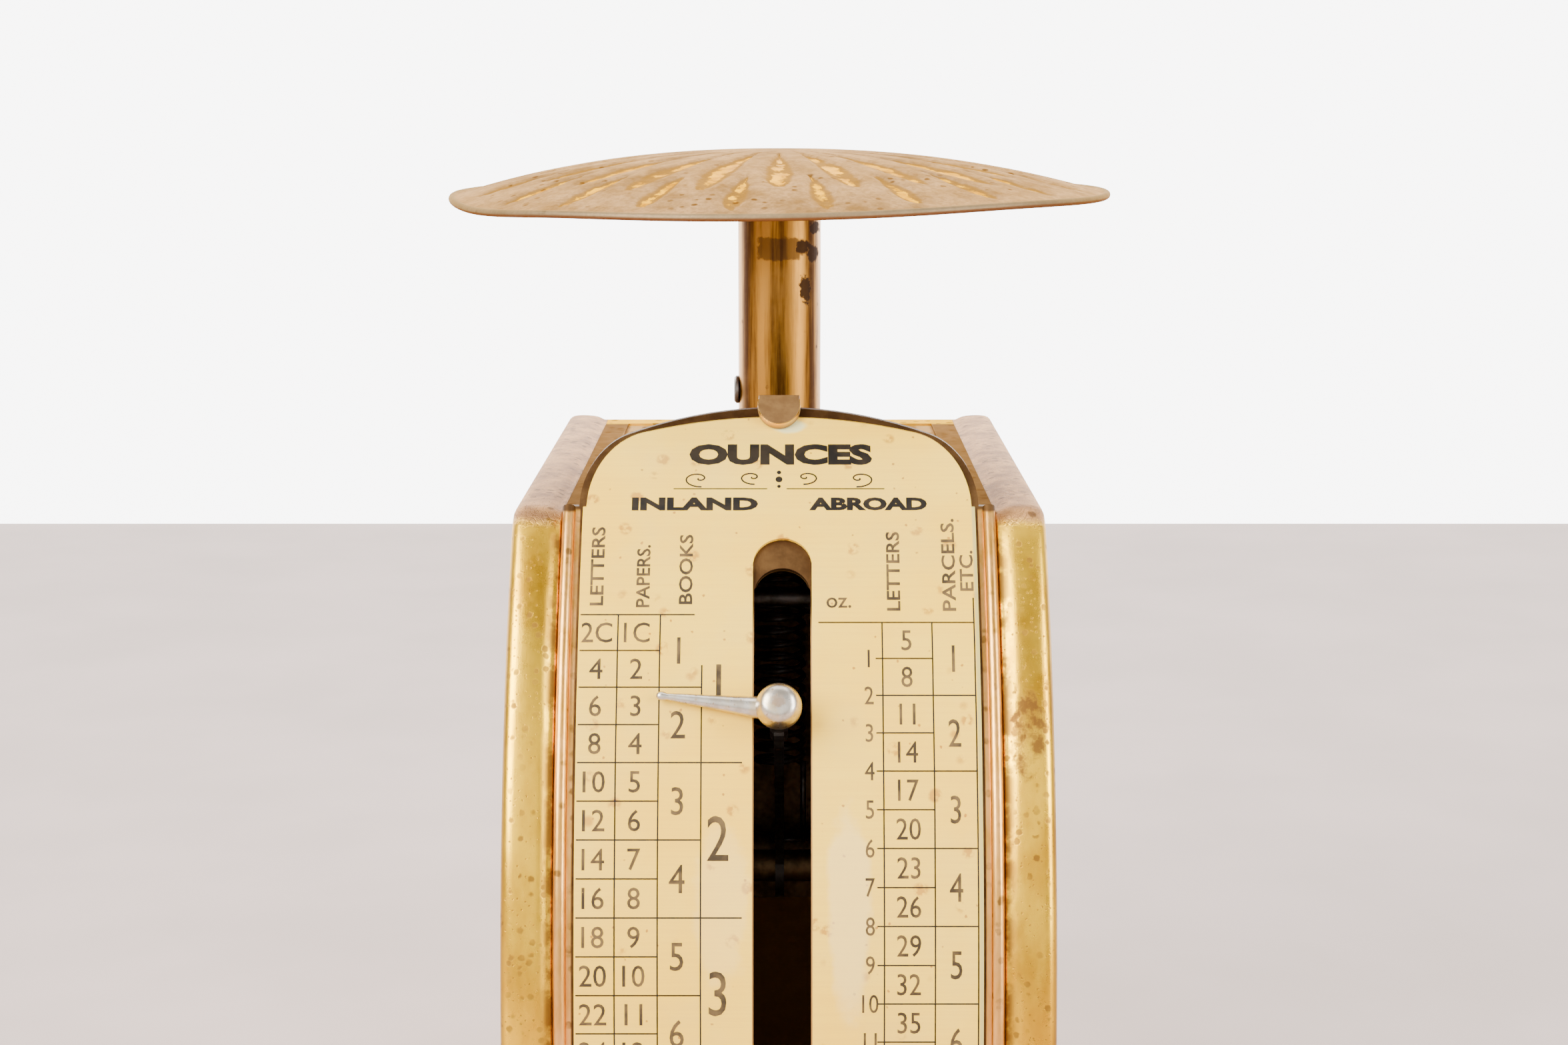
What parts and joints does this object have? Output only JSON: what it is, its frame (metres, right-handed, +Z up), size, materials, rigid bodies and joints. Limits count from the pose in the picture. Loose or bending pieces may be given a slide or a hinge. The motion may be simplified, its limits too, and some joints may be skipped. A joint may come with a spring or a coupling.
{
  "type": "spring letter scale",
  "caption": "Small brass spring scale with a curved upright dial, side pointer and round pan on a sliding post.",
  "frame": {"origin": "middle of the footprint on the surface the scale stands on", "axes": "+Z up, the dial faces -Y, +X to the right of someone reading the dial"},
  "size_m": [0.0872, 0.1115, 0.1428],
  "materials": {
    "case_brass": "aged, softly polished",
    "inner_brass": "dull",
    "post_brass": "brown lacquered, worn",
    "pan_brass": "dull patina with bright hollows",
    "celluloid": "cream, yellowed",
    "steel": "dull",
    "spring_steel": "dull",
    "nickel": "worn plating"
  },
  "bodies": {
    "case": {"side_pan_left": "case_brass", "side_pan_right": "case_brass", "top_plate": "case_brass", "back_plate": "case_brass", "base_plate": "case_brass", "dial_holder": "case_brass", "dial": "celluloid", "retaining_tab": "case_brass", "lever_bracket": "inner_brass", "fulcrum_pin": "steel", "check_link_back_pin": "steel", "bracket_rivets": "inner_brass", "base_screws": "steel", "spring_hanger": "steel", "adjusting_nut": "inner_brass", "spring": "spring_steel"},
    "lever": {"main_lever": "steel", "fulcrum_spacers": "inner_brass", "pointer_stud": "steel", "pointer_head": "nickel", "pointer_needle": "nickel"},
    "carriage": {"yoke": "inner_brass", "load_pin": "steel", "link_front_pin": "steel", "load_spacers": "inner_brass", "post_stem": "inner_brass", "pan_post": "post_brass", "post_screw": "steel", "pan_boss": "post_brass", "weighing_pan": "pan_brass"},
    "link": {"check_link": "inner_brass"}
  },
  "joints": [
    {"name": "lever_pivot", "type": "hinge", "parent": "case", "child": "lever", "pos_m": [0, 0.04613, 0.036], "axis": [1, 0, 0], "range_deg": [-8, 35], "stiffness_Nm_per_rad": 0.22, "springref_deg": -8.59, "deforming": ["spring"]},
    {"name": "load_pivot", "type": "hinge", "parent": "lever", "child": "carriage", "pos_m": [0, 0.01211, 0.04423], "axis": [1, 0, 0], "range_deg": [-35, 8]},
    {"name": "link_pivot", "type": "hinge", "parent": "case", "child": "link", "pos_m": [0, 0.04613, 0.074], "axis": [1, 0, 0], "range_deg": [-8, 35]}
  ],
  "couplings": [
    {"joint": "load_pivot", "follows": "lever_pivot", "ratio": -1},
    {"joint": "link_pivot", "follows": "lever_pivot", "ratio": 1}
  ]
}
